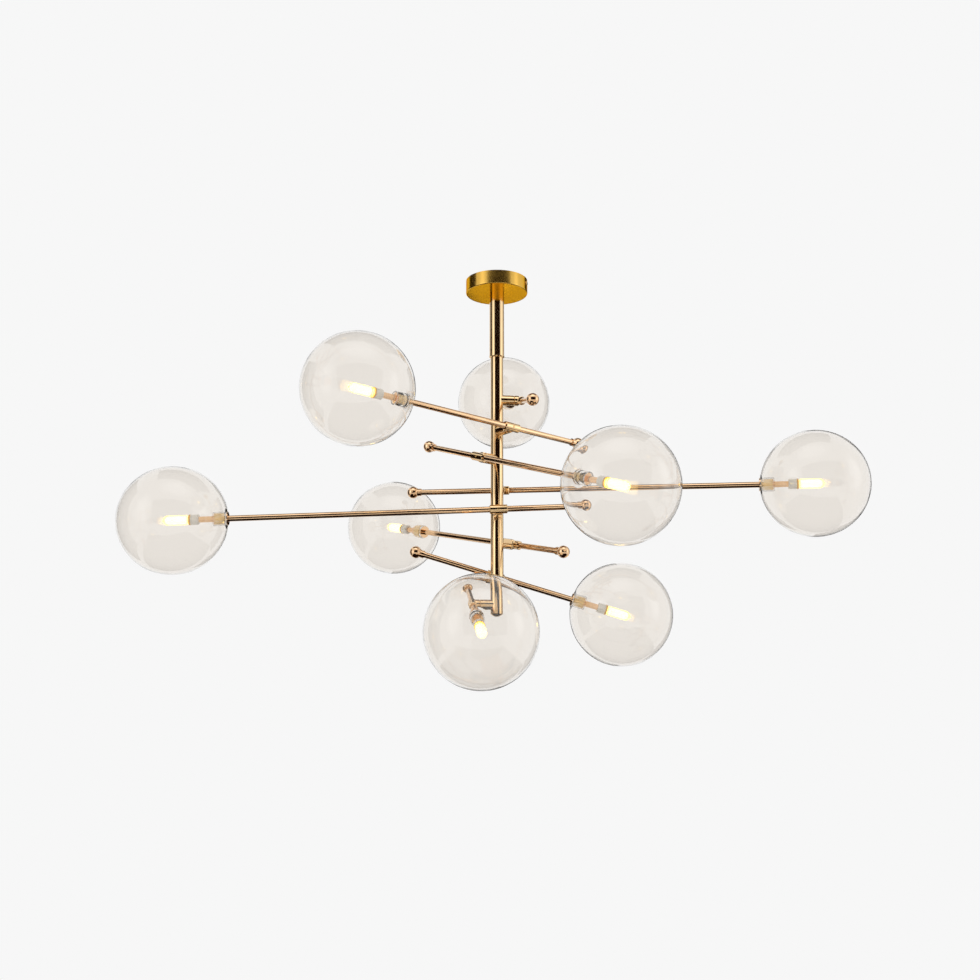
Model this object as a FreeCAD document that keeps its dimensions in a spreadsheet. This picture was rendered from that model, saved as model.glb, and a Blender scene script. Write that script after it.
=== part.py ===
"""Branch chandelier: eight clear glass globes on brass arms that tilt on swivels along one stem.

Millimetres. The origin is the centre of the canopy's rim, on the ceiling, and +Z is up.
Every arm is drawn in a frame of its own: its origin is the middle of the swivel sleeve, +Z runs along
the rod to the globe, and +X points away from the stem.
"""

import FreeCAD, Part
import Sketcher
import math
import os
import re

X_AXIS = FreeCAD.Vector(1, 0, 0)
Z_AXIS = FreeCAD.Vector(0, 0, 1)

# Driving sizes. Everything else is worked out from these by the expressions below.
SIZES = {
    # ceiling fitting
    "canopy_radius": 55.0,
    "canopy_height": 24.0,
    "canopy_wall": 1.2,
    "canopy_edge": 2.0,
    "bracket_bearing": -20.0,
    "bracket_width": 22.0,
    "bracket_thickness": 2.0,
    "bracket_tab": 17.0,
    "bracket_clearance": 0.5,
    "cable_hole_radius": 9.0,
    "fixing_circle": 76.0,
    "fixing_hole_radius": 2.6,
    "side_screw_radius": 2.0,
    "side_screw_drop": 11.0,
    "side_screw_length": 8.0,
    "side_head_radius": 3.8,
    "side_head_height": 2.4,
    "side_head_dome": 1.4,
    "terminal_offset": 20.0,
    "terminal_length": 18.0,
    "terminal_depth": 15.0,
    "terminal_height": 9.0,
    "terminal_hole_radius": 1.6,
    # stem
    "nipple_radius": 5.0,
    "nipple_bore": 3.5,
    "nipple_rise": 9.0,
    "nut_flats": 14.0,
    "nut_height": 5.0,
    "washer_radius": 9.0,
    "washer_height": 1.0,
    "upper_radius": 13.0,
    "upper_length": 116.0,
    "upper_plug": 12.0,
    "lower_radius": 11.0,
    "lower_length": 450.0,
    "tube_wall": 1.5,
    "coupling_lip": 0.5,
    "coupling_height": 3.0,
    "coupling_spigot": 14.0,
    "coupling_bore": 5.0,
    "cap_height": 5.0,
    "cap_spigot": 10.0,
    "slip_fit": 0.05,
    # swivel
    "swivel_reach": 42.0,
    "drum_radius": 9.0,
    "drum_edge": 0.8,
    "base_end": 30.0,
    "swivel_gap": 0.3,
    "spigot_radius": 6.0,
    "spigot_end": 7.0,
    "spindle_radius": 4.0,
    "wire_radius": 2.5,
    "spring_washer": 1.0,
    "flare_radius": 6.0,
    "flare_height": 1.1,
    "head_drum_length": 8.5,
    "sleeve_radius": 7.5,
    "sleeve_length": 30.0,
    "sleeve_edge": 0.8,
    # arm
    "rod_radius": 5.0,
    "rod_bore": 4.0,
    "knob_radius": 10.5,
    "knob_neck_radius": 6.6,
    "knob_neck_length": 5.0,
    "knob_socket_floor": 6.0,
    # globe and lamp
    "globe_radius": 90.0,
    "globe_wall": 2.0,
    "neck_bore": 9.6,
    "neck_wall": 2.0,
    "neck_length": 24.0,
    "thread_gap": 0.15,
    "collar_radius": 11.0,
    "collar_flange": 1.6,
    "collar_length": 21.0,
    "holder_radius": 8.6,
    "holder_length": 16.0,
    "holder_offset": 27.0,
    "holder_socket": 5.0,
    "holder_edge": 1.0,
    "lamp_socket_width": 13.0,
    "lamp_socket_depth": 7.0,
    "lamp_socket_height": 7.0,
    "pin_spacing": 9.0,
    "pin_radius": 0.6,
    "pin_hole_radius": 1.1,
    "pin_length": 3.0,
    "lamp_radius": 8.0,
    "lamp_length": 40.0,
    "lamp_pip": 1.2,
    "lamp_gap": 3.0,
    "lamp_clearance": 0.3,
}

# Each arm: how far its swivel sits above the tube's lower end, the bearing of the swivel's stub, which
# way round the stub the globe lies (+1 or -1), how far the globe end is tilted up, and the two reaches.
ARMS = {
    1: dict(rise=316.0, bearing=-54.0, hand=-1, tilt=3.5, globe_reach=300.0, knob_reach=150.0),
    2: dict(rise=373.0, bearing=7.0, hand=1, tilt=14.0, globe_reach=225.0, knob_reach=135.0),
    3: dict(rise=265.0, bearing=-137.0, hand=1, tilt=-16.5, globe_reach=325.0, knob_reach=140.0),
    4: dict(rise=219.0, bearing=80.0, hand=-1, tilt=-0.5, globe_reach=535.0, knob_reach=160.0),
    5: dict(rise=172.0, bearing=-87.0, hand=-1, tilt=-2.5, globe_reach=540.0, knob_reach=145.0),
    6: dict(rise=121.0, bearing=46.0, hand=1, tilt=11.0, globe_reach=325.0, knob_reach=115.0),
    7: dict(rise=16.0, bearing=-174.0, hand=1, tilt=-19.0, globe_reach=165.0, knob_reach=140.0),
    8: dict(rise=67.0, bearing=94.0, hand=-1, tilt=-16.5, globe_reach=230.0, knob_reach=145.0),
}
for number, arm in ARMS.items():
    for key, value in arm.items():
        SIZES["arm%d_%s" % (number, key)] = value

doc = FreeCAD.newDocument("Chandelier")
sheet = doc.addObject("Spreadsheet::Sheet", "Sizes")
for row, (name, value) in enumerate(SIZES.items(), start=1):
    sheet.set("A%d" % row, name)
    sheet.set("B%d" % row, str(value))
    sheet.setAlias("B%d" % row, name)
doc.recompute()


def sized(text):
    """The same expression with each size's name pointing at its cell."""
    return re.sub(r"[a-z][a-z_0-9]*", lambda w: "Sizes." + w[0] if w[0] in SIZES else w[0], text)


def value_of(text):
    """What an expression of sizes is worth now."""
    return float(sheet.evalExpression(sized(text)))


def plane(body, role):
    """One of a body's own origin planes."""
    return next(f for f in body.Origin.OriginFeatures if f.Role == role)


def new_body(label):
    body = doc.addObject("PartDesign::Body", label)
    body.Label = label
    return body


def new_sketch(body, role):
    sketch = body.newObject("Sketcher::SketchObject", body.Name + "_sketch")
    sketch.AttachmentSupport = (plane(body, role), [""])
    sketch.MapMode = "FlatFace"
    return sketch


def pin_point(sketch, geometry, end, across, along):
    """Hold one end of a line or arc at a place given by two expressions."""
    for kind, text, axis in (("DistanceX", across, -2), ("DistanceY", along, -1)):
        if text == "0":
            sketch.addConstraint(Sketcher.Constraint("PointOnObject", geometry, end, axis))
        else:
            rule = Sketcher.Constraint(kind, -1, 1, geometry, end, value_of(text))
            index = sketch.addConstraint(rule)
            sketch.setExpression("Constraints[%d]" % index, sized(text))


def runs_back(corner):
    """True for an arc that bulges left: the arc's own start is then the corner's far end."""
    return len(corner) > 2 and corner[3] > 0


def near_vertex(corner):
    """Which end of its edge a corner stands at, in the sketch's numbering."""
    return 2 if runs_back(corner) else 1


def far_vertex(corner):
    return 1 if runs_back(corner) else 2


def draw_outline(sketch, corners):
    """A closed outline. A corner is (across, along) or (across, along, radius, side): then the edge
    that leaves it is an arc of that radius, bulging to the left (+1) or right (-1) of its chord."""
    places = [FreeCAD.Vector(value_of(c[0]), value_of(c[1]), 0) for c in corners]
    for i, corner in enumerate(corners):
        here, there = places[i], places[(i + 1) % len(places)]
        if len(corner) == 2:
            sketch.addGeometry(Part.LineSegment(here, there), False)
            continue
        radius, side = value_of(corner[2]), corner[3]
        chord = there.sub(here)
        left = FreeCAD.Vector(-chord.y, chord.x, 0).normalize()
        bulge = radius - math.sqrt(max(radius ** 2 - chord.Length ** 2 / 4, 0.0))
        middle = here.add(there).multiply(0.5).add(left.multiply(side * bulge))
        sketch.addGeometry(Part.Arc(here, middle, there), False)
    for i, corner in enumerate(corners):
        after = (i + 1) % len(corners)
        sketch.addConstraint(Sketcher.Constraint(
            "Coincident", i, far_vertex(corner), after, near_vertex(corners[after])))
    for i, corner in enumerate(corners):
        pin_point(sketch, i, near_vertex(corner), corner[0], corner[1])
        if len(corner) > 2:
            rule = Sketcher.Constraint("Radius", i, value_of(corner[2]))
            index = sketch.addConstraint(rule)
            sketch.setExpression("Constraints[%d]" % index, sized(corner[2]))


def turned(label, corners):
    """A turned piece: its half outline, radius across and height along, spun round Z."""
    body = new_body(label)
    sketch = new_sketch(body, "XZ_Plane")
    draw_outline(sketch, corners)
    spin = body.newObject("PartDesign::Revolution", label + "_spin")
    spin.Profile = sketch
    spin.ReferenceAxis = (sketch, ["V_Axis"])
    spin.Angle = 360
    return body


def add_round_pocket(body, role, centre, radius, label, depth=None):
    """A round hole cut square to one of the body's own planes, right through unless it has a depth."""
    sketch = new_sketch(body, role)
    x, y = centre
    place = FreeCAD.Vector(value_of(x), value_of(y), 0)
    sketch.addGeometry(Part.Circle(place, Z_AXIS, value_of(radius)), False)
    pin_point(sketch, 0, 3, x, y)
    index = sketch.addConstraint(Sketcher.Constraint("Radius", 0, value_of(radius)))
    sketch.setExpression("Constraints[%d]" % index, sized(radius))
    cut = body.newObject("PartDesign::Pocket", label)
    cut.Profile = sketch
    if depth is None:
        cut.Type = "ThroughAll"
        cut.Midplane = True
    else:
        cut.setExpression("Length", sized(depth))
    return cut


def rod_of(label, radius, length, turn=None, **place):
    """A plain cylinder, for cutting and joining: along Z, or turned, with its base at a place."""
    tool = doc.addObject("Part::Cylinder", label)
    tool.setExpression("Radius", sized(radius))
    tool.setExpression("Height", sized(length))
    if turn is not None:
        tool.Placement.Rotation = turn
    bind_place(tool, **place)
    return tool


def block_of(label, sizes, place):
    """A plain block for cutting and joining, from its three sizes and its lowest corner."""
    tool = doc.addObject("Part::Box", label)
    for side, text in zip(("Length", "Width", "Height"), sizes):
        tool.setExpression(side, sized(text))
    bind_place(tool, **dict(zip("xyz", place)))
    return tool


def joined(label, tools):
    fuse = doc.addObject("Part::MultiFuse", label)
    fuse.Shapes = tools
    return fuse


def cut_from(label, base, tools):
    cut = doc.addObject("Part::Cut", label)
    cut.Base = base
    cut.Tool = tools[0] if len(tools) == 1 else joined(label + "_tools", tools)
    cut.Refine = True
    return cut


def grouped(label, members):
    """Separate solids of one kind kept together as one sub-part."""
    group = doc.addObject("Part::Compound", label)
    group.Links = members
    return group


def cross_rotation(bearing):
    """Turns Z to point level, along a bearing."""
    level = FreeCAD.Rotation(Z_AXIS, X_AXIS)
    return FreeCAD.Rotation(Z_AXIS, bearing).multiply(level)


def bind_place(part, **place):
    """Ties where a part stands to the sizes, one expression an axis."""
    for axis, text in place.items():
        part.setExpression("Placement.Base." + axis, sized(text))


def edged_rod(label, radius, length, edge, base="0"):
    """A turned rod along Z with both its rims chamfered."""
    end = "%s + %s" % (base, length)
    return turned(label, [
        ("0", base),
        ("%s - %s" % (radius, edge), base),
        (radius, "%s + %s" % (base, edge)),
        (radius, "%s - %s" % (end, edge)),
        ("%s - %s" % (radius, edge), end),
        ("0", end),
    ])


PARTS = []


def keep(part):
    PARTS.append(part)
    return part


# ---------------------------------------------------------------- ceiling fitting

def make_canopy():
    canopy = turned("canopy", [
        ("nipple_radius + slip_fit", "-canopy_height"),
        ("canopy_radius - canopy_edge", "-canopy_height", "canopy_edge", -1),
        ("canopy_radius", "canopy_edge - canopy_height"),
        ("canopy_radius", "0"),
        ("canopy_radius - canopy_wall", "0"),
        ("canopy_radius - canopy_wall", "canopy_edge - canopy_height",
         "canopy_edge - canopy_wall", 1),
        ("canopy_radius - canopy_edge", "canopy_wall - canopy_height"),
        ("nipple_radius + slip_fit", "canopy_wall - canopy_height"),
    ])
    add_round_pocket(canopy, "YZ_Plane", ("0", "-side_screw_drop"),
                     "side_screw_radius + slip_fit", "side_screw_holes")
    canopy.Placement.Rotation = FreeCAD.Rotation(Z_AXIS, SIZES["bracket_bearing"])
    return keep(canopy)


def make_bracket():
    """A steel strap on the ceiling, its two ends bent down inside the canopy's wall."""
    wall = "canopy_radius - canopy_wall - bracket_clearance"
    reach = "sqrt(pow(%s; 2) - pow(bracket_width / 2; 2))" % wall
    body = new_body("ceiling_bracket")
    sketch = new_sketch(body, "XZ_Plane")
    draw_outline(sketch, [
        ("-(%s)" % reach, "0"),
        ("-(%s)" % reach, "-bracket_tab"),
        ("bracket_thickness - (%s)" % reach, "-bracket_tab"),
        ("bracket_thickness - (%s)" % reach, "-bracket_thickness"),
        ("%s - bracket_thickness" % reach, "-bracket_thickness"),
        ("%s - bracket_thickness" % reach, "-bracket_tab"),
        (reach, "-bracket_tab"),
        (reach, "0"),
    ])
    strap = body.newObject("PartDesign::Pad", "strap")
    strap.Profile = sketch
    strap.Midplane = True
    strap.setExpression("Length", sized("bracket_width"))
    doc.recompute()
    add_round_pocket(body, "XY_Plane", ("0", "0"), "cable_hole_radius", "cable_hole")
    for side, name in (("", "right"), ("-", "left")):
        add_round_pocket(body, "XY_Plane", (side + "fixing_circle / 2", "0"),
                         "fixing_hole_radius", "fixing_hole_" + name)
    add_round_pocket(body, "YZ_Plane", ("0", "-side_screw_drop"),
                     "side_screw_radius + slip_fit", "tab_holes")
    body.Placement.Rotation = FreeCAD.Rotation(Z_AXIS, SIZES["bracket_bearing"])
    return keep(body)


def make_side_screws():
    """Two round-headed screws through the canopy's wall into the bracket's ends."""
    screws = []
    for name, side, turn in (("right", "", 0.0), ("left", "-", 180.0)):
        head = doc.addObject("Part::Cylinder", "screw_head_" + name)
        head.setExpression("Radius", sized("side_head_radius"))
        head.setExpression("Height", sized("side_head_height"))
        shank = doc.addObject("Part::Cylinder", "screw_shank_" + name)
        shank.setExpression("Radius", sized("side_screw_radius"))
        shank.setExpression("Height", sized("side_screw_length"))
        shank.setExpression("Placement.Base.z", sized("-side_screw_length"))
        screw = joined("screw_blank_" + name, [head, shank])
        doc.recompute()
        domed = doc.addObject("Part::Fillet", "screw_" + name)
        domed.Base = screw
        rim = [i for i, e in enumerate(screw.Shape.Edges, start=1)
               if e.BoundBox.ZMin > SIZES["side_head_height"] / 2
               and e.BoundBox.ZMax - e.BoundBox.ZMin < SIZES["slip_fit"]]
        domed.Edges = [(i, SIZES["side_head_dome"], SIZES["side_head_dome"]) for i in rim]
        domed.Placement.Rotation = cross_rotation(SIZES["bracket_bearing"] + turn)
        bind_place(domed, x=side + "canopy_radius * cos(bracket_bearing)",
                   y=side + "canopy_radius * sin(bracket_bearing)", z="-side_screw_drop")
        screws.append(domed)
    return keep(grouped("canopy_screws", screws))


def make_terminal_block():
    """A three-way connector under the bracket, with a wire hole for each way."""
    body = block_of("terminal_body", ("terminal_length", "terminal_depth", "terminal_height"),
                    ("terminal_offset - terminal_length / 2", "-terminal_depth / 2",
                     "-bracket_thickness - terminal_height"))
    turn = FreeCAD.Rotation(X_AXIS, -90)
    holes = []
    for i, share in enumerate(("- terminal_length / 3", "", "+ terminal_length / 3")):
        holes.append(rod_of("terminal_way_%d" % (i + 1), "terminal_hole_radius", "2 * terminal_depth",
                            turn, x="terminal_offset " + share, y="-terminal_depth",
                            z="-bracket_thickness - terminal_height / 2"))
    block = cut_from("terminal_block", body, holes)
    block.Placement.Rotation = FreeCAD.Rotation(Z_AXIS, SIZES["bracket_bearing"])
    return keep(block)


def make_nipple():
    """The threaded tube that hangs the stem from the canopy's floor."""
    return keep(turned("stem_nipple", [
        ("nipple_bore", "-canopy_height - upper_plug"),
        ("nipple_radius", "-canopy_height - upper_plug"),
        ("nipple_radius", "canopy_wall - canopy_height + nipple_rise"),
        ("nipple_bore", "canopy_wall - canopy_height + nipple_rise"),
    ]))


def make_nipple_nut():
    """A washer and a hexagon nut on the nipple, inside the canopy."""
    floor = "canopy_wall - canopy_height"
    washer = cut_from("nipple_washer",
                      rod_of("washer_disc", "washer_radius", "washer_height", z=floor),
                      [rod_of("washer_hole", "nipple_radius + slip_fit", "washer_height", z=floor)])
    hexagon = doc.addObject("Part::Prism", "nut_hexagon")
    hexagon.Polygon = 6
    hexagon.setExpression("Circumradius", sized("nut_flats / sqrt(3)"))
    hexagon.setExpression("Height", sized("nut_height"))
    hexagon.setExpression("Placement.Base.z", sized(floor + " + washer_height"))
    nut = cut_from("nipple_hexagon", hexagon,
                   [rod_of("nut_hole", "nipple_radius + slip_fit", "nut_height",
                           z=floor + " + washer_height")])
    return keep(grouped("nipple_nut", [washer, nut]))


# ---------------------------------------------------------------- stem

UPPER_END = "(-canopy_height - upper_length)"
LOWER_START = "(-canopy_height - upper_length - coupling_height)"
LOWER_END = "(-canopy_height - upper_length - coupling_height - lower_length)"


def swivel_height(number):
    """The height of an arm's swivel, as an expression: arms keep their place from the tube's lower end."""
    return "%s + arm%d_rise" % (LOWER_END, number)


def make_upper_stem():
    """The wide tube under the canopy, closed at its top by a tapped plug."""
    inner = "upper_radius - tube_wall"
    return keep(turned("stem_upper", [
        ("nipple_radius + slip_fit", "-canopy_height"),
        ("upper_radius", "-canopy_height"),
        ("upper_radius", UPPER_END),
        (inner, UPPER_END),
        (inner, "-canopy_height - upper_plug"),
        ("nipple_radius + slip_fit", "-canopy_height - upper_plug"),
    ]))


def make_coupling():
    """The turned joint between the two tubes: a lip, and a spigot into each."""
    upper_fit = "upper_radius - tube_wall - slip_fit"
    lower_fit = "lower_radius - tube_wall - slip_fit"
    lip = "upper_radius + coupling_lip"
    return keep(turned("stem_coupling", [
        ("coupling_bore", UPPER_END + " + coupling_spigot"),
        ("coupling_bore", LOWER_START + " - coupling_spigot"),
        (lower_fit, LOWER_START + " - coupling_spigot"),
        (lower_fit, LOWER_START),
        (lip + " - coupling_height / 2", LOWER_START),
        (lip, LOWER_START + " + coupling_height / 2"),
        (lip, UPPER_END),
        (upper_fit, UPPER_END),
        (upper_fit, UPPER_END + " + coupling_spigot"),
    ]))


def make_lower_stem():
    """The tube that carries the swivels, with a round hole through its wall for each."""
    inner = "lower_radius - tube_wall"
    tube = cut_from("stem_tube", rod_of("stem_outside", "lower_radius", "lower_length", z=LOWER_END),
                    [rod_of("stem_inside", inner, "lower_length", z=LOWER_END)])
    holes = []
    for number, arm in ARMS.items():
        hole = rod_of("stem_hole_%d" % number, "spigot_radius + slip_fit", "lower_radius + tube_wall",
                      cross_rotation(arm["bearing"]), z=swivel_height(number))
        holes.append(hole)
    return keep(cut_from("stem_lower", tube, holes))


def make_end_cap():
    return keep(turned("stem_end_cap", [
        ("0", LOWER_END + " + cap_spigot"),
        ("0", LOWER_END + " - cap_height", "(pow(lower_radius; 2) + pow(cap_height; 2)) / (2 * cap_height)",
         -1),
        ("lower_radius", LOWER_END),
        ("lower_radius - tube_wall - slip_fit", LOWER_END),
        ("lower_radius - tube_wall - slip_fit", LOWER_END + " + cap_spigot"),
    ]))


# ---------------------------------------------------------------- swivels, fixed half

def make_swivel_bases():
    """Eight short drums saddled on the stem, each with a spigot through its wall and a bored middle."""
    bases = []
    for number, arm in ARMS.items():
        tag = "_%d" % number
        drum = edged_rod("base_drum" + tag, "drum_radius", "base_end", "drum_edge")
        saddle = rod_of("base_saddle" + tag, "lower_radius", "4 * drum_radius",
                        FreeCAD.Rotation(FreeCAD.Vector(0, 1, 0), 90), x="-2 * drum_radius")
        outside = cut_from("base_outside" + tag, drum, [saddle])
        spigot = rod_of("base_spigot" + tag, "spigot_radius", "base_end - spigot_end", z="spigot_end")
        solid = joined("base_solid" + tag, [outside, spigot])
        bore = rod_of("base_bore" + tag, "spindle_radius + slip_fit", "base_end")
        base = cut_from("base" + tag, solid, [bore])
        base.Placement.Rotation = cross_rotation(arm["bearing"])
        bind_place(base, z=swivel_height(number))
        bases.append(base)
    return keep(grouped("swivel_bases", bases))


def make_spring_washers():
    """The washers inside the stem that give each swivel its friction."""
    washers = []
    for number, arm in ARMS.items():
        tag = "_%d" % number
        start = "spigot_end - spring_washer"
        ring = cut_from("spring" + tag,
                        rod_of("spring_disc" + tag, "spigot_radius", "spring_washer", z=start),
                        [rod_of("spring_hole" + tag, "spindle_radius + swivel_gap", "spring_washer",
                                z=start)])
        ring.Placement.Rotation = cross_rotation(arm["bearing"])
        bind_place(ring, z=swivel_height(number))
        washers.append(ring)
    return keep(grouped("spring_washers", washers))


# ---------------------------------------------------------------- arms

def keep_on_arm(part, number):
    """Stands a part in an arm's own frame: origin in the sleeve, +X away from the stem, +Z to the globe."""
    arm = ARMS[number]
    lean = -arm["hand"] * (90.0 - arm["tilt"])
    swing = FreeCAD.Rotation(Z_AXIS, arm["bearing"])
    part.Placement.Rotation = swing.multiply(FreeCAD.Rotation(X_AXIS, lean))
    bind_place(part, x="swivel_reach * cos(arm%d_bearing)" % number,
               y="swivel_reach * sin(arm%d_bearing)" % number, z=swivel_height(number))
    return keep(part)


def make_head(number):
    """The turning half of a swivel: a hollow spindle, a drum and the sleeve that holds the rod."""
    tag = "_%d" % number
    level = FreeCAD.Rotation(Z_AXIS, X_AXIS)
    flare_start = "spigot_end - spring_washer - swivel_gap - flare_height"
    drum_start = "base_end + swivel_gap"
    flare = rod_of("head_flare" + tag, "flare_radius", "flare_height", level,
                   x=flare_start + " - swivel_reach")
    spindle = rod_of("head_spindle" + tag, "spindle_radius",
                     "%s + head_drum_length - (%s)" % (drum_start, flare_start), level,
                     x=flare_start + " - swivel_reach")
    drum = edged_rod("head_drum" + tag, "drum_radius", "head_drum_length", "drum_edge")
    drum.Placement.Rotation = level
    bind_place(drum, x=drum_start + " - swivel_reach")
    sleeve = edged_rod("head_sleeve" + tag, "sleeve_radius", "sleeve_length", "sleeve_edge",
                       "-sleeve_length / 2")
    solid = joined("head_solid" + tag, [flare, spindle, drum, sleeve])
    rod_hole = rod_of("head_bore" + tag, "rod_radius + slip_fit", "2 * sleeve_length", z="-sleeve_length")
    wire_hole = rod_of("head_wire_hole" + tag, "wire_radius", "swivel_reach", level, x="-swivel_reach")
    return keep_on_arm(cut_from("swivel_head" + tag, solid, [rod_hole, wire_hole]), number)


def make_rod(number):
    """The arm's tube, with the threaded collar for the globe brazed on near its end."""
    globe = "arm%d_globe_reach" % number
    knob = "arm%d_knob_reach" % number
    lip = "(%s - sqrt(pow(globe_radius; 2) - pow(neck_bore + neck_wall; 2)))" % globe
    start = "knob_socket_floor - %s" % knob
    end = "%s - holder_offset - holder_length + holder_socket" % globe
    barrel = "neck_bore - thread_gap"
    body = turned("arm_rod_%d" % number, [
        ("rod_bore", start),
        ("rod_radius", start),
        ("rod_radius", lip + " - collar_flange"),
        ("collar_radius", lip + " - collar_flange"),
        ("collar_radius", lip),
        (barrel, lip),
        (barrel, lip + " + collar_length"),
        ("rod_radius", lip + " + collar_length"),
        ("rod_radius", end),
        ("rod_bore", end),
    ])
    doc.recompute()
    add_round_pocket(body, "YZ_Plane", ("0", "0"), "wire_radius", "wire_hole_%d" % number,
                     depth="2 * rod_radius")
    return keep_on_arm(body, number)


def make_knob(number):
    """A turned ball with a short neck, screwed on the rod's free end."""
    centre = "(-arm%d_knob_reach)" % number
    socket = "rod_radius + slip_fit"
    bottom = centre + " + knob_socket_floor"
    top = centre + " + knob_radius + knob_neck_length"
    body = turned("ball_knob_%d" % number, [
        ("0", centre + " - knob_radius", "knob_radius", -1),
        ("knob_radius", centre, "knob_radius", -1),
        ("knob_neck_radius", centre + " + sqrt(pow(knob_radius; 2) - pow(knob_neck_radius; 2))"),
        ("knob_neck_radius", top),
        (socket, top),
        (socket, bottom),
        ("0", bottom),
    ])
    return keep_on_arm(body, number)


def make_globe(number):
    """A blown glass ball whose mouth is turned inwards as a short neck."""
    centre = "arm%d_globe_reach" % number
    neck = "neck_bore + neck_wall"
    lip = "%s - sqrt(pow(globe_radius; 2) - pow(%s; 2))" % (centre, neck)
    inside = "globe_radius - globe_wall"
    inner_end = "%s - globe_radius + neck_length" % centre
    body = turned("glass_globe_%d" % number, [
        ("0", centre + " + globe_radius", "globe_radius", 1),
        (neck, lip),
        ("neck_bore", lip),
        ("neck_bore", inner_end),
        (neck, inner_end),
        (neck, "%s - sqrt(pow(%s; 2) - pow(%s; 2))" % (centre, inside, neck), inside, -1),
        ("0", "%s + %s" % (centre, inside)),
    ])
    return keep_on_arm(body, number)


def make_holder(number):
    """The ceramic lampholder on the rod's end: a socket for the lamp's foot and two pin holes."""
    centre = "arm%d_globe_reach" % number
    front = centre + " - holder_offset"
    back = front + " - holder_length"
    floor = front + " - lamp_socket_height"
    tag = "_%d" % number
    blank = turned("holder_blank" + tag, [
        ("0", back + " + holder_socket"),
        ("rod_radius + slip_fit", back + " + holder_socket"),
        ("rod_radius + slip_fit", back),
        ("holder_radius - holder_edge", back),
        ("holder_radius", back + " + holder_edge"),
        ("holder_radius", front),
        ("0", front),
    ])
    socket = block_of("socket" + tag, ("lamp_socket_depth", "lamp_socket_width", "lamp_socket_height"),
                      ("-lamp_socket_depth / 2", "-lamp_socket_width / 2", floor))
    pins = [rod_of("pin_hole%s_%s" % (tag, name), "pin_hole_radius", "lamp_socket_height",
                   y=side + "pin_spacing / 2", z=floor + " - lamp_socket_height / 2")
            for name, side in (("a", ""), ("b", "-"))]
    return keep_on_arm(cut_from("lamp_holder" + tag, blank, [socket] + pins), number)


def make_lamp(number):
    """A small capsule lamp: a rounded glass body on a flat foot with two pins."""
    centre = "arm%d_globe_reach" % number
    start = centre + " - holder_offset + lamp_gap"
    shoulder = start + " + lamp_length - lamp_radius"
    tip = shoulder + " + sqrt(pow(lamp_radius; 2) - pow(lamp_pip; 2))"
    tag = "_%d" % number
    glass = turned("lamp_glass" + tag, [
        ("0", start),
        ("lamp_radius", start),
        ("lamp_radius", shoulder, "lamp_radius", -1),
        ("lamp_pip", tip),
        ("lamp_pip", tip + " + lamp_pip"),
        ("0", tip + " + lamp_pip"),
    ])
    floor = centre + " - holder_offset - lamp_socket_height + lamp_clearance"
    foot = block_of("lamp_foot" + tag,
                    ("lamp_socket_depth - 2 * lamp_clearance", "lamp_socket_width - 2 * lamp_clearance",
                     "lamp_socket_height + lamp_gap"),
                    ("lamp_clearance - lamp_socket_depth / 2", "lamp_clearance - lamp_socket_width / 2",
                     floor))
    pins = [rod_of("pin%s_%s" % (tag, name), "pin_radius", "pin_length + lamp_gap",
                   y=side + "pin_spacing / 2", z=floor + " - pin_length")
            for name, side in (("a", ""), ("b", "-"))]
    return keep_on_arm(joined("capsule_lamp" + tag, [glass, foot] + pins), number)


make_canopy()
make_bracket()
make_side_screws()
make_terminal_block()
make_nipple()
make_nipple_nut()
make_upper_stem()
make_coupling()
make_lower_stem()
make_end_cap()
make_swivel_bases()
make_spring_washers()
for arm_number in ARMS:
    make_head(arm_number)
    make_rod(arm_number)
    make_knob(arm_number)
    make_globe(arm_number)
    make_holder(arm_number)
    make_lamp(arm_number)
doc.recompute()

failed = [o.Name for o in doc.Objects if "Invalid" in o.State or "Error" in o.State]
for part in PARTS:
    if part.Shape.isNull() or not part.Shape.isValid() or not part.Shape.Solids:
        failed.append(part.Label)
if failed:
    raise SystemExit("failed: " + ", ".join(failed))

os.makedirs("parts", exist_ok=True)
for part in PARTS:
    part.Shape.exportStep(os.path.join("parts", part.Label + ".step"))
print(len(PARTS), "sub-parts,", sum(len(p.Shape.Solids) for p in PARTS), "solids")
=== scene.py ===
"""Looks of the branch chandelier: brass, blown glass, lit capsule lamps, studio and camera.

Metres, in the same frame as the CAD: the origin is on the ceiling at the canopy's centre, +Z is up.
Sizes of small pieces are written in millimetres and turned to metres where a mesh is finished.
"""

import math

import bmesh
import bpy
from mathutils import Matrix, Vector


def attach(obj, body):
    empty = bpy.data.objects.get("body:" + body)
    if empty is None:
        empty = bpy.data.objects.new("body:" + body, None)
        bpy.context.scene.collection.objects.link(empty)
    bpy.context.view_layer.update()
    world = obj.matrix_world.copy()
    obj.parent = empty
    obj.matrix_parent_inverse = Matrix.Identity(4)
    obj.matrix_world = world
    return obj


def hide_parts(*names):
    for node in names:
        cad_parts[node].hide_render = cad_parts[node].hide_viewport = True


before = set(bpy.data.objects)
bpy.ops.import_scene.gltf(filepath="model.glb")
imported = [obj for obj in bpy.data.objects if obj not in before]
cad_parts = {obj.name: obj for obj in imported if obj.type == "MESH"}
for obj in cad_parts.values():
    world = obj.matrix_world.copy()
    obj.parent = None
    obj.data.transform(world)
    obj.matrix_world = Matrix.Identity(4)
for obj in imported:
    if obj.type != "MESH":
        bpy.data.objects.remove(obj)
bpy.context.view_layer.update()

MM = 0.001

# Flats in a full turn of a small piece, in a full turn of a globe, along a globe's profile, round
# the bead of its rim, and over the dome of a lamp's core.
TURN_STEPS = 64
GLOBE_STEPS = 128
ARC_STEPS = 56
BEAD_STEPS = 8
DOME_STEPS = 8

WELD_MM = 0.001
SHARP_DEGREES = 35.0

# ---------------------------------------------------------------- sizes, in millimetres

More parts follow.
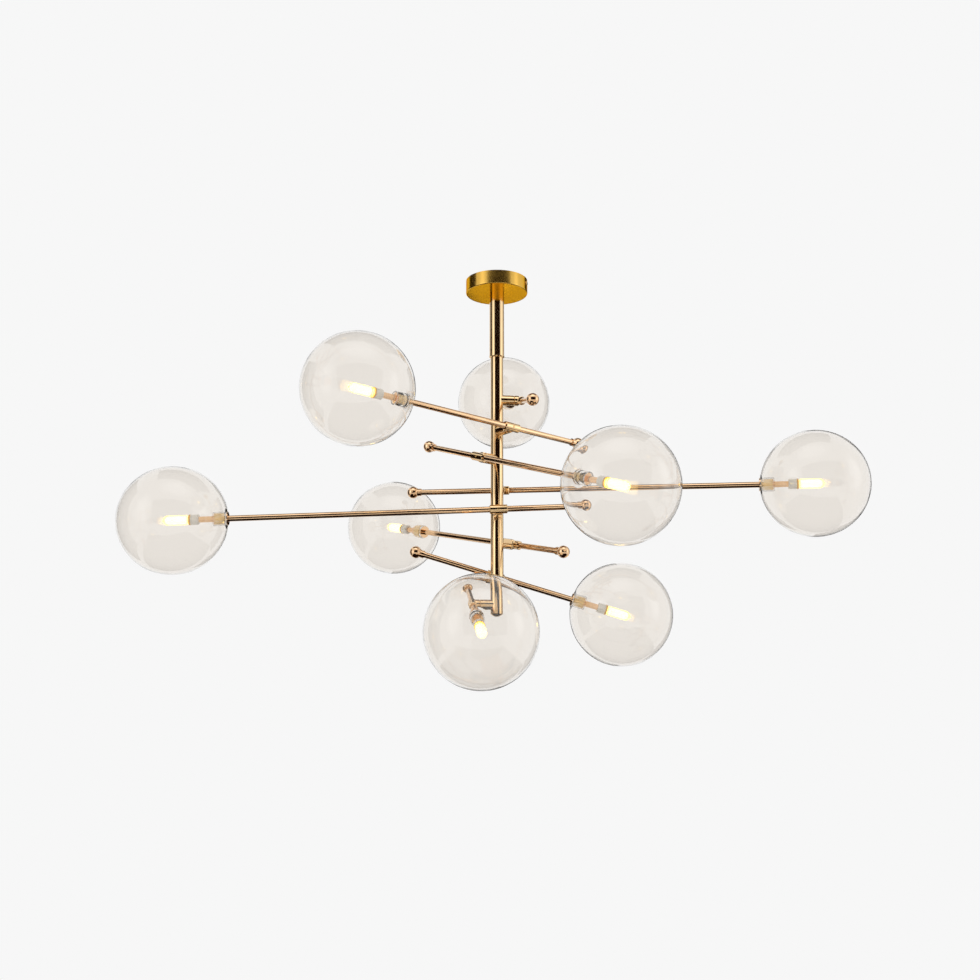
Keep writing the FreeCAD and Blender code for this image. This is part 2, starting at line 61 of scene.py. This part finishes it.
# From the stem's axis to a rod's axis, and the height of the stem tube's lower end.
SWIVEL_REACH = 42.0
TUBE_END = -593.0

# Each arm: its swivel's height above the tube's lower end, the bearing of its stub, which way round
# the stub its globe lies, how far the globe end is tilted up, and how far the globe's centre is.
ARMS = {
    1: dict(rise=316.0, bearing=-54.0, hand=-1, tilt=3.5, globe_reach=300.0),
    2: dict(rise=373.0, bearing=7.0, hand=1, tilt=14.0, globe_reach=225.0),
    3: dict(rise=265.0, bearing=-137.0, hand=1, tilt=-16.5, globe_reach=325.0),
    4: dict(rise=219.0, bearing=80.0, hand=-1, tilt=-0.5, globe_reach=535.0),
    5: dict(rise=172.0, bearing=-87.0, hand=-1, tilt=-2.5, globe_reach=540.0),
    6: dict(rise=121.0, bearing=46.0, hand=1, tilt=11.0, globe_reach=325.0),
    7: dict(rise=16.0, bearing=-174.0, hand=1, tilt=-19.0, globe_reach=165.0),
    8: dict(rise=67.0, bearing=94.0, hand=-1, tilt=-16.5, globe_reach=230.0),
}

GLOBE_RADIUS = 90.0
GLOBE_WALL = 2.0
NECK_OUTER = 11.6
NECK_BORE = 9.6
NECK_LENGTH = 24.0
COLLAR_BARREL = 9.45
COLLAR_LENGTH = 21.0
SLEEVE_RADIUS = 7.5
HOLDER_RADIUS = 8.6

# How much smaller in radius the drawn ball is than the CAD globe that it replaces.
BALL_EASE = 0.1

# Along the rod, from the globe's centre.
HOLDER_FRONT = -27.0
LAMP_START = -24.0


# ---------------------------------------------------------------- node helpers

def linear(hex_colour):
    """An sRGB hex colour as linear RGBA."""
    channels = [int(hex_colour[i:i + 2], 16) / 255 for i in (1, 3, 5)]
    return [c / 12.92 if c <= 0.04045 else ((c + 0.055) / 1.055) ** 2.4 for c in channels] + [1.0]


def add(tree, kind, inputs=None, **settings):
    """Adds one node. An input's value is a plain value, or another node's output to link."""
    node = tree.nodes.new(kind)
    for name, value in settings.items():
        setattr(node, name, value)
    for name, value in (inputs or {}).items():
        if isinstance(value, bpy.types.NodeSocket):
            tree.links.new(value, node.inputs[name])
        else:
            node.inputs[name].default_value = value
    return node


def new_material(name):
    """An empty material: itself, its tree and its output node."""
    material = bpy.data.materials.new(name)
    material.use_nodes = True
    material.node_tree.nodes.clear()
    output = material.node_tree.nodes.new("ShaderNodeOutputMaterial")
    return material, material.node_tree, output


def surface(tree, output, **inputs):
    """Puts a Principled shader on the output. Underscores in a name stand for spaces."""
    shader = add(tree, "ShaderNodeBsdfPrincipled",
                 {name.replace("_", " "): value for name, value in inputs.items()})
    tree.links.new(shader.outputs["BSDF"], output.inputs["Surface"])


def object_place(tree):
    """A point's place in its object's own coordinates, in metres."""
    return add(tree, "ShaderNodeTexCoord").outputs["Object"]


def per_metre(size_mm):
    """The texture scale whose features are about this many millimetres."""
    return 1000.0 / size_mm


def noise(tree, place, size_mm, **inputs):
    """Cloudy noise with features of about this size."""
    return add(tree, "ShaderNodeTexNoise", {
        "Vector": place, "Scale": per_metre(size_mm), **inputs}).outputs["Fac"]


def remap(tree, value, to_min, to_max, from_min=0.0, from_max=1.0, **settings):
    """A value moved from one range to another, and kept inside it."""
    return add(tree, "ShaderNodeMapRange", {
        "Value": value, "From Min": from_min, "From Max": from_max,
        "To Min": to_min, "To Max": to_max}, **settings).outputs["Result"]


def tinted(tree, factor, first, second):
    """A colour between two hex colours. Inputs 6 and 7 of a Mix node are its two colours, and
    output 2 is their mix."""
    return add(tree, "ShaderNodeMix", {
        "Factor": factor, 6: linear(first), 7: linear(second)}, data_type="RGBA").outputs[2]


def bumped(tree, height, strength, depth_mm):
    """A normal tilted by a height pattern of this depth."""
    return add(tree, "ShaderNodeBump", {
        "Height": height, "Strength": strength, "Distance": depth_mm * MM}).outputs["Normal"]


# ---------------------------------------------------------------- finishes

def brass(name, base, dull, roughness, line_mm, line_depth_mm, stretch=(1.0, 1.0, 1.0),
          edge="#ffffff", coat=0.15):
    """Brass, machined, brushed with a fine pad and lacquered: warm, with soft-edged reflections.
    The pad leaves hair lines, drawn here coarser than real so that they show. Handling leaves
    patches a little duller than the rest."""
    gloss_change = 0.03
    material, tree, output = new_material(name)
    place = object_place(tree)
    lines_place = add(tree, "ShaderNodeMapping", {"Vector": place, "Scale": stretch})
    hair = noise(tree, lines_place.outputs["Vector"], line_mm, Detail=4.0, Roughness=0.6)
    patches = noise(tree, place, size_mm=35.0, Detail=3.0)
    gloss = remap(tree, hair, roughness - gloss_change, roughness + gloss_change,
                  from_min=0.3, from_max=0.7)
    surface(tree, output, Base_Color=tinted(tree, patches, base, dull), Metallic=1.0,
            Roughness=gloss, Normal=bumped(tree, hair, strength=0.5, depth_mm=line_depth_mm),
            Specular_Tint=linear(edge), Coat_Weight=coat, Coat_Roughness=0.12)
    return material


def cut_thread():
    """Pale brass with a thread cut in it: crisp reflections that break up on the ridges."""
    material, tree, output = new_material("cut_thread_brass")
    drag = noise(tree, object_place(tree), size_mm=2.2, Detail=3.0)
    surface(tree, output, Base_Color=linear("#f0d49c"), Metallic=1.0, Roughness=0.12,
            Normal=bumped(tree, drag, strength=0.8, depth_mm=0.4))
    return material


def blown_glass():
    """Mouth-blown clear soda glass: almost colourless, with a slow waviness and a hard gloss."""
    material, tree, output = new_material("blown_clear_glass")
    wave = noise(tree, object_place(tree), size_mm=45.0, Detail=1.5)
    surface(tree, output, Base_Color=linear("#f9f6f2"), Roughness=0.0, IOR=1.5,
            Transmission_Weight=1.0, Normal=bumped(tree, wave, strength=0.4, depth_mm=0.6))
    return material


def frosted_glass():
    """Pressed lamp glass, sand-blasted inside: milky and warm, so the light spreads through it."""
    material, tree, output = new_material("frosted_lamp_glass")
    grit = noise(tree, object_place(tree), size_mm=0.8, Detail=2.0)
    gloss = remap(tree, grit, to_min=0.28, to_max=0.42)
    surface(tree, output, Base_Color=linear("#fff6dc"), Roughness=gloss,
            IOR=1.45, Transmission_Weight=0.85,
            Emission_Color=linear("#ffd033"), Emission_Strength=0.75)
    return material


def glowing_core():
    """The light source inside a lamp, hot white with a little warmth."""
    material, tree, output = new_material("glowing_core")
    mottle = noise(tree, object_place(tree), size_mm=3.0)
    heat = remap(tree, mottle, to_min=1.8, to_max=2.8)
    surface(tree, output, Base_Color=linear("#fff4d8"), Roughness=0.5,
            Emission_Color=linear("#fff3b8"), Emission_Strength=heat)
    return material


def glazed_ceramic():
    """Steatite, pressed and glazed: warm white with a few fine specks."""
    material, tree, output = new_material("glazed_steatite")
    specks = noise(tree, object_place(tree), size_mm=0.9, Detail=3.0)
    rare = remap(tree, specks, to_min=0.0, to_max=1.0, from_min=0.62, from_max=0.78)
    surface(tree, output, Base_Color=tinted(tree, rare, "#f4f0e6", "#d3cab8"), Roughness=0.32,
            Normal=bumped(tree, specks, strength=0.2, depth_mm=0.04),
            Coat_Weight=0.5, Coat_Roughness=0.08)
    return material


def zinc_plated_steel(name, base, spangle_mm, roughness):
    """Steel strip, zinc plated: cool grey with a faint patchy crystal."""
    gloss_change = 0.15
    material, tree, output = new_material(name)
    crystals = add(tree, "ShaderNodeTexVoronoi", {
        "Vector": object_place(tree), "Scale": per_metre(spangle_mm)},
        feature="F1").outputs["Distance"]
    surface(tree, output, Base_Color=tinted(tree, crystals, base, "#8f959b"), Metallic=1.0,
            Roughness=remap(tree, crystals, roughness, roughness + gloss_change))
    return material


def moulded_polyamide():
    """Natural polyamide, injection moulded: creamy, waxy, with a faint orange peel."""
    material, tree, output = new_material("moulded_polyamide")
    peel = noise(tree, object_place(tree), size_mm=0.7)
    surface(tree, output, Base_Color=linear("#e8e3d3"), Roughness=0.45,
            Subsurface_Weight=0.15, Normal=bumped(tree, peel, strength=0.3, depth_mm=0.05))
    return material


# The canopy is yellower than the tubes, and its edges keep that colour.
CANOPY_BRASS = brass("spun_canopy_brass", "#e8bb5c", "#dcab4c", roughness=0.19, line_mm=1.4,
                     line_depth_mm=0.002, stretch=(0.3, 0.3, 2.5), edge="#e8b858", coat=0.06)
STEM_BRASS = brass("satin_stem_brass", "#f0d2a4", "#e6c08c", roughness=0.13, line_mm=1.6,
                   line_depth_mm=0.0015, stretch=(0.25, 0.25, 2.0))
ROD_BRASS = brass("satin_rod_brass", "#f2cea4", "#e8bc90", roughness=0.14, line_mm=2.4,
                  line_depth_mm=0.004)
SCREW_BRASS = brass("turned_screw_brass", "#e6be7c", "#d2a764", roughness=0.16, line_mm=0.6,
                    line_depth_mm=0.01)
THREAD_BRASS = cut_thread()
CLEAR_GLASS = blown_glass()
LAMP_GLASS = frosted_glass()
LAMP_CORE = glowing_core()
CERAMIC = glazed_ceramic()
BRACKET_STEEL = zinc_plated_steel("zinc_plated_strip", "#c3c7ca", spangle_mm=6.0, roughness=0.32)
SPRING_STEEL = zinc_plated_steel("spring_steel_strip", "#a9adb0", spangle_mm=2.0, roughness=0.25)
POLYAMIDE = moulded_polyamide()

FINISHES = {
    "canopy_brass": CANOPY_BRASS,
    "satin_brass": STEM_BRASS,
    "rod_brass": ROD_BRASS,
    "brass_screws": SCREW_BRASS,
    "zinc_steel": BRACKET_STEEL,
    "spring_steel": SPRING_STEEL,
    "terminal_plastic": POLYAMIDE,
    "clear_glass": CLEAR_GLASS,
    "white_ceramic": CERAMIC,
    "lamp_glass": LAMP_GLASS,
}
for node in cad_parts.values():
    for slot in node.material_slots:
        slot.material = FINISHES[slot.name]

# A lamp's glass lets its core's light out.
for number in ARMS:
    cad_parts["capsule_lamp_%d" % number].visible_shadow = False


# ---------------------------------------------------------------- mesh helpers

def mesh_data(name, mesh, material):
    """Mesh data with one material, from a bmesh that is used up."""
    data = bpy.data.meshes.new(name)
    mesh.to_mesh(data)
    mesh.free()
    data.materials.append(material)
    return data


def in_scene(name, data):
    """A new object in the scene, untransformed."""
    item = bpy.data.objects.new(name, data)
    bpy.context.scene.collection.objects.link(item)
    return item


def finished(kind, number, mesh, place, material):
    """Puts a millimetre bmesh at its place in metres, shades it, and lets it ride on its arm."""
    bmesh.ops.remove_doubles(mesh, verts=mesh.verts, dist=WELD_MM)
    bmesh.ops.recalc_face_normals(mesh, faces=mesh.faces)
    bmesh.ops.transform(mesh, verts=mesh.verts, matrix=Matrix.Scale(MM, 4) @ place)
    name = "%s_%d" % (kind, number)
    body = "arm_%d" % number
    data = mesh_data(name, mesh, material)
    data.shade_smooth()
    data.set_sharp_from_angle(angle=math.radians(SHARP_DEGREES))
    piece = in_scene(name, data)
    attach(piece, body)
    return piece


def spun(outline, closed, steps=TURN_STEPS):
    """A bmesh turned round Z from points of (radius, height)."""
    mesh = bmesh.new()
    points = [mesh.verts.new((radius, 0.0, height)) for radius, height in outline]
    pairs = list(zip(points, points[1:]))
    if closed:
        pairs.append((points[-1], points[0]))
    edges = [mesh.edges.new(pair) for pair in pairs]
    bmesh.ops.spin(mesh, geom=points + edges, cent=(0.0, 0.0, 0.0), axis=(0.0, 0.0, 1.0),
                   angle=2.0 * math.pi, steps=steps, use_merge=True)
    return mesh


def arc(radius, middle, start, end, steps):
    """Points of (radius, height) on a circle round a point of the axis. Angles are in radians,
    from +Z."""
    angles = [start + (end - start) * i / steps for i in range(steps + 1)]
    return [(radius * math.sin(a), middle + radius * math.cos(a)) for a in angles]


def arm_frame(number):
    """An arm's own frame: origin in the swivel sleeve, +Z along the rod to the globe."""
    arm = ARMS[number]
    swing = Matrix.Rotation(math.radians(arm["bearing"]), 4, "Z")
    lean = Matrix.Rotation(math.radians(-arm["hand"] * (90.0 - arm["tilt"])), 4, "X")
    reach = swing @ Vector((SWIVEL_REACH, 0.0, 0.0))
    return Matrix.Translation(reach + Vector((0.0, 0.0, TUBE_END + arm["rise"]))) @ swing @ lean


# ---------------------------------------------------------------- turned pieces on the arms

def glass_ball(number):
    """A blown ball whose mouth is turned inwards as a short neck, its rim fire-polished round.
    It replaces the CAD globe, with rounded lips and a clean mesh at the pole."""
    middle = ARMS[number]["globe_reach"]
    outer, inner = GLOBE_RADIUS - BALL_EASE, GLOBE_RADIUS - GLOBE_WALL
    # Roundings: where the neck leaves the wall, at the mouth outside, and the rim's bead.
    root, mouth, rim = 1.5, 0.5, (NECK_OUTER - NECK_BORE) / 2
    root_dip = 0.3 * root
    turn_in = math.pi - math.asin(NECK_OUTER / outer)
    turn_out = math.pi - math.asin((NECK_OUTER + root) / inner)
    lip = middle + outer * math.cos(turn_in)
    foot = middle + inner * math.cos(turn_out)
    rim_start = middle - GLOBE_RADIUS + NECK_LENGTH - rim
    bead = [(NECK_BORE + rim * (1.0 - math.cos(math.pi * i / BEAD_STEPS)),
             rim_start + rim * math.sin(math.pi * i / BEAD_STEPS)) for i in range(BEAD_STEPS + 1)]
    outline = arc(outer, middle, 0.0, turn_in, ARC_STEPS)
    outline += [(NECK_BORE + mouth, lip), (NECK_BORE, lip + mouth)] + bead
    outline += [(NECK_OUTER, foot + root), (NECK_OUTER + root_dip, foot + root_dip)]
    outline += arc(inner, middle, turn_out, 0.0, ARC_STEPS)
    # Both ends lie exactly on the axis, so that the poles close.
    outline[0] = (0.0, outline[0][1])
    outline[-1] = (0.0, outline[-1][1])
    ball = finished("glass_ball", number, spun(outline, closed=False, steps=GLOBE_STEPS),
                    arm_frame(number), CLEAR_GLASS)
    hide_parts("glass_globe_%d" % number)
    # Thin clear glass takes next to no light away.
    ball.visible_shadow = False


def holder_ring(number):
    """The thin brass ring crimped round the front of a lampholder."""
    front = ARMS[number]["globe_reach"] + HOLDER_FRONT
    # Across from the ceramic's radius and along from its front face, round the section once.
    section = [(0.02, -2.6), (0.35, -2.4), (0.45, -0.2), (0.1, 0.5),
               (-1.0, 0.5), (-1.0, 0.02), (0.02, 0.02)]
    outline = [(HOLDER_RADIUS + across, front + along) for across, along in section]
    finished("holder_ring", number, spun(outline, closed=True), arm_frame(number),
             SCREW_BRASS)


def neck_bush(number):
    """The brass thread that shows through a globe's glass neck, as rounded ridges."""
    lip = ARMS[number]["globe_reach"] - math.sqrt(GLOBE_RADIUS ** 2 - NECK_OUTER ** 2)
    root, crest, underside = COLLAR_BARREL + 0.01, NECK_BORE - 0.02, COLLAR_BARREL + 0.005
    pitch, climb, fall, margin = 1.5, 0.35, 0.65, 0.2
    bush_start, thread_start = lip + 0.1, lip + margin
    turns = int((COLLAR_LENGTH - 2.0 * margin) / pitch)
    bush_end = thread_start + turns * pitch
    outline = [(root, bush_start)]
    for turn in range(turns):
        start = thread_start + turn * pitch
        outline += [(root, start), (crest, start + climb * pitch), (crest, start + fall * pitch)]
    outline += [(root, bush_end), (underside, bush_end), (underside, bush_start)]
    finished("neck_bush", number, spun(outline, closed=True), arm_frame(number),
             THREAD_BRASS)


def clamp_screw(number):
    """The socket screw in a sleeve's outer side that clamps the rod."""
    radius, proud, sunk, bevel = 2.0, 0.35, 1.2, 0.2
    socket, socket_depth, lead_across, lead_deep = 1.15, 0.9, 0.15, 0.1
    outline = [
        (0.0, proud - socket_depth),
        (socket, proud - socket_depth),
        (socket, proud - lead_deep),
        (socket + lead_across, proud),
        (radius - bevel, proud),
        (radius, proud - bevel),
        (radius, -sunk),
        (0.0, -sunk),
    ]
    outwards = Matrix.Translation((SLEEVE_RADIUS, 0.0, 0.0)) @ Matrix.Rotation(math.pi / 2, 4, "Y")
    finished("clamp_screw", number, spun(outline, closed=False), arm_frame(number) @ outwards,
             SCREW_BRASS)


def lamp_core(number):
    """The glowing column inside a capsule lamp: a small bevel at the foot, a dome at the tip."""
    gap, radius, length, bevel = 1.5, 4.8, 34.0, 0.8
    start = ARMS[number]["globe_reach"] + LAMP_START + gap
    angles = [math.pi / 2 * i / DOME_STEPS for i in range(DOME_STEPS)]
    dome = [(radius * math.cos(a), start + length - radius + radius * math.sin(a)) for a in angles]
    outline = [(0.0, start), (radius - bevel, start), (radius, start + bevel)] + dome
    outline.append((0.0, start + length))
    finished("lamp_core", number, spun(outline, closed=False), arm_frame(number),
             LAMP_CORE)


for number in ARMS:
    glass_ball(number)
    holder_ring(number)
    neck_bush(number)
    clamp_screw(number)
    lamp_core(number)


# ---------------------------------------------------------------- studio

BACKDROP = "#f7f7f7"
SET_MIDDLE = Vector((0.0, 0.0, -0.38))
FLOOR_HEIGHT = -2.4
FLOOR_SIZE = 40.0
HALF_TURN = Matrix.Rotation(math.pi, 4, "Y")

# Each flag and softbox: its bearing and elevation in degrees, its distance, width and height in
# metres, and for a softbox its power in watts. Bearing 0 is the camera's side, 90 is to the right.
FLAGS = {
    "flag_front": (8.0, 10.0, 2.6, 4.6, 2.4),
    "flag_left": (-103.0, 0.0, 2.6, 1.9, 3.4),
    "flag_right": (140.0, 0.0, 2.6, 1.2, 3.4),
    "flag_back": (180.0, 0.0, 2.6, 0.9, 3.4),
    "flag_over": (180.0, 76.0, 2.4, 3.2, 1.7),
    "flag_under": (0.0, -88.0, 1.9, 4.4, 4.4),
}
SOFTBOXES = {
    "key_softbox": (-54.0, 8.0, 2.5, 1.6, 3.0, 15.0),
    "fill_softbox": (76.0, 8.0, 2.5, 1.5, 2.8, 13.5),
    "top_softbox": (0.0, 62.0, 2.5, 3.4, 2.2, 20.0),
}

# The camera, as solved from the globes' places in the photo: widths and focal length in pixels, the
# film's width in millimetres, its place in metres and how far it looks up in degrees.
PHOTO_WIDTH = 980.0
FOCAL_LENGTH = 1040.0
FILM_WIDTH = 36.0
CAMERA_PLACE = (-0.0121, -1.771, -0.7024)
CAMERA_RISE = 10.3


def seen_directly(tree):
    """1 for a ray that shows the background: camera, mirror-like, or through glass."""
    path = add(tree, "ShaderNodeLightPath")
    either = add(tree, "ShaderNodeMath", {
        0: path.outputs["Is Camera Ray"], 1: path.outputs["Is Glossy Ray"]}, operation="MAXIMUM")
    return add(tree, "ShaderNodeMath", {
        0: either.outputs[0], 1: path.outputs["Is Transmission Ray"]},
        operation="MAXIMUM").outputs[0]


def light_world():
    """Even white light from all round, and the plain backdrop wherever it is seen directly."""
    world = bpy.data.worlds.new("studio")
    world.use_nodes = True
    tree = world.node_tree
    tree.nodes.clear()
    room = add(tree, "ShaderNodeBackground", {"Color": linear("#ffffff"), "Strength": 0.6})
    shown = add(tree, "ShaderNodeBackground", {"Color": linear(BACKDROP), "Strength": 1.0})
    mixed = add(tree, "ShaderNodeMixShader", {
        "Fac": seen_directly(tree), 1: room.outputs[0], 2: shown.outputs[0]})
    add(tree, "ShaderNodeOutputWorld", {"Surface": mixed.outputs[0]})
    bpy.context.scene.world = world


def stage_plane(name, width, height, place, material):
    """A flat stage piece, drawn facing +Z and then put in its place."""
    mesh = bmesh.new()
    bmesh.ops.create_grid(mesh, x_segments=1, y_segments=1, size=0.5)
    bmesh.ops.transform(mesh, verts=mesh.verts,
                        matrix=place @ Matrix.Diagonal((width, height, 1.0, 1.0)))
    plane = in_scene(name, mesh_data(name, mesh, material))
    return plane


def lay_floor():
    """A pale floor far below. It takes the object's shadow in its middle, where part of it is matt,
    and fades to the backdrop further out. The fade goes by the distance from the ceiling point."""
    fade_end, backdrop_share = 4.5, 0.55
    material, tree, output = new_material("pale_studio_floor")
    away = add(tree, "ShaderNodeVectorMath", {0: object_place(tree)}, operation="LENGTH")
    fade = remap(tree, away.outputs["Value"], backdrop_share, 1.0, -FLOOR_HEIGHT, fade_end)
    share = add(tree, "ShaderNodeMath", {0: fade, 1: seen_directly(tree)}, operation="MULTIPLY")
    matt = add(tree, "ShaderNodeBsdfDiffuse", {"Color": linear("#f3f3f3")})
    shown = add(tree, "ShaderNodeEmission", {"Color": linear(BACKDROP), "Strength": 1.0})
    mixed = add(tree, "ShaderNodeMixShader", {
        "Fac": share.outputs[0], 1: matt.outputs[0], 2: shown.outputs[0]})
    tree.links.new(mixed.outputs[0], output.inputs["Surface"])
    place = Matrix.Translation((0.0, 0.0, FLOOR_HEIGHT))
    stage_plane("floor", FLOOR_SIZE, FLOOR_SIZE, place, material)


def towards_middle(bearing, elevation, distance):
    """A place on a sphere round the object, with +Z facing the object."""
    a, e = math.radians(bearing), math.radians(elevation)
    out = Vector((math.sin(a) * math.cos(e), -math.cos(a) * math.cos(e), math.sin(e)))
    turn = out.to_track_quat("Z", "Y").to_matrix().to_4x4() @ HALF_TURN
    return Matrix.Translation(SET_MIDDLE + out * distance) @ turn


def hang_flags():
    """Dark brown flags round the set. Only reflections see them: they give the brass its dark
    streaks and the glass its grey edge."""
    material, tree, output = new_material("black_flag_cloth")
    cloth = add(tree, "ShaderNodeEmission", {"Color": linear("#1a0d07"), "Strength": 1.0})
    tree.links.new(cloth.outputs[0], output.inputs["Surface"])
    for name, (bearing, elevation, distance, width, height) in FLAGS.items():
        place = towards_middle(bearing, elevation, distance)
        flag = stage_plane(name, width, height, place, material)
        flag.visible_camera = False
        flag.visible_diffuse = False
        flag.visible_transmission = False
        flag.visible_shadow = False
        flag.visible_volume_scatter = False


def hang_softbox(name, bearing, elevation, distance, width, height, power):
    """A soft light whose glow fades towards its edges, as through stretched cloth."""
    bright_radius, edge_radius = 0.12, 0.5
    data = bpy.data.lights.new(name, "AREA")
    data.shape = "RECTANGLE"
    data.size = width
    data.size_y = height
    data.energy = power
    data.use_nodes = True
    tree = data.node_tree
    tree.nodes.clear()
    spot = add(tree, "ShaderNodeNewGeometry").outputs["Parametric"]
    off_centre = add(tree, "ShaderNodeVectorMath", {0: spot, 1: (0.5, 0.5, 0.0)},
                     operation="DISTANCE")
    fade = remap(tree, off_centre.outputs["Value"], 1.0, 0.0, bright_radius, edge_radius,
                 interpolation_type="SMOOTHSTEP")
    glow = add(tree, "ShaderNodeEmission", {"Strength": fade})
    add(tree, "ShaderNodeOutputLight", {"Surface": glow.outputs[0]})
    lamp = in_scene(name, data)
    lamp.visible_transmission = False
    lamp.matrix_world = towards_middle(bearing, elevation, distance) @ HALF_TURN


def place_camera():
    """The photograph's view: from a third of a metre below the middle, looking up ten degrees."""
    data = bpy.data.cameras.new("camera")
    data.sensor_width = FILM_WIDTH
    data.lens = FILM_WIDTH * FOCAL_LENGTH / PHOTO_WIDTH
    camera = in_scene("camera", data)
    camera.location = CAMERA_PLACE
    camera.rotation_euler = (math.radians(90.0 + CAMERA_RISE), 0.0, 0.0)
    bpy.context.scene.camera = camera


light_world()
lay_floor()
hang_flags()
for name, settings in SOFTBOXES.items():
    hang_softbox(name, *settings)
place_camera()
bpy.context.scene.view_settings.view_transform = "Standard"
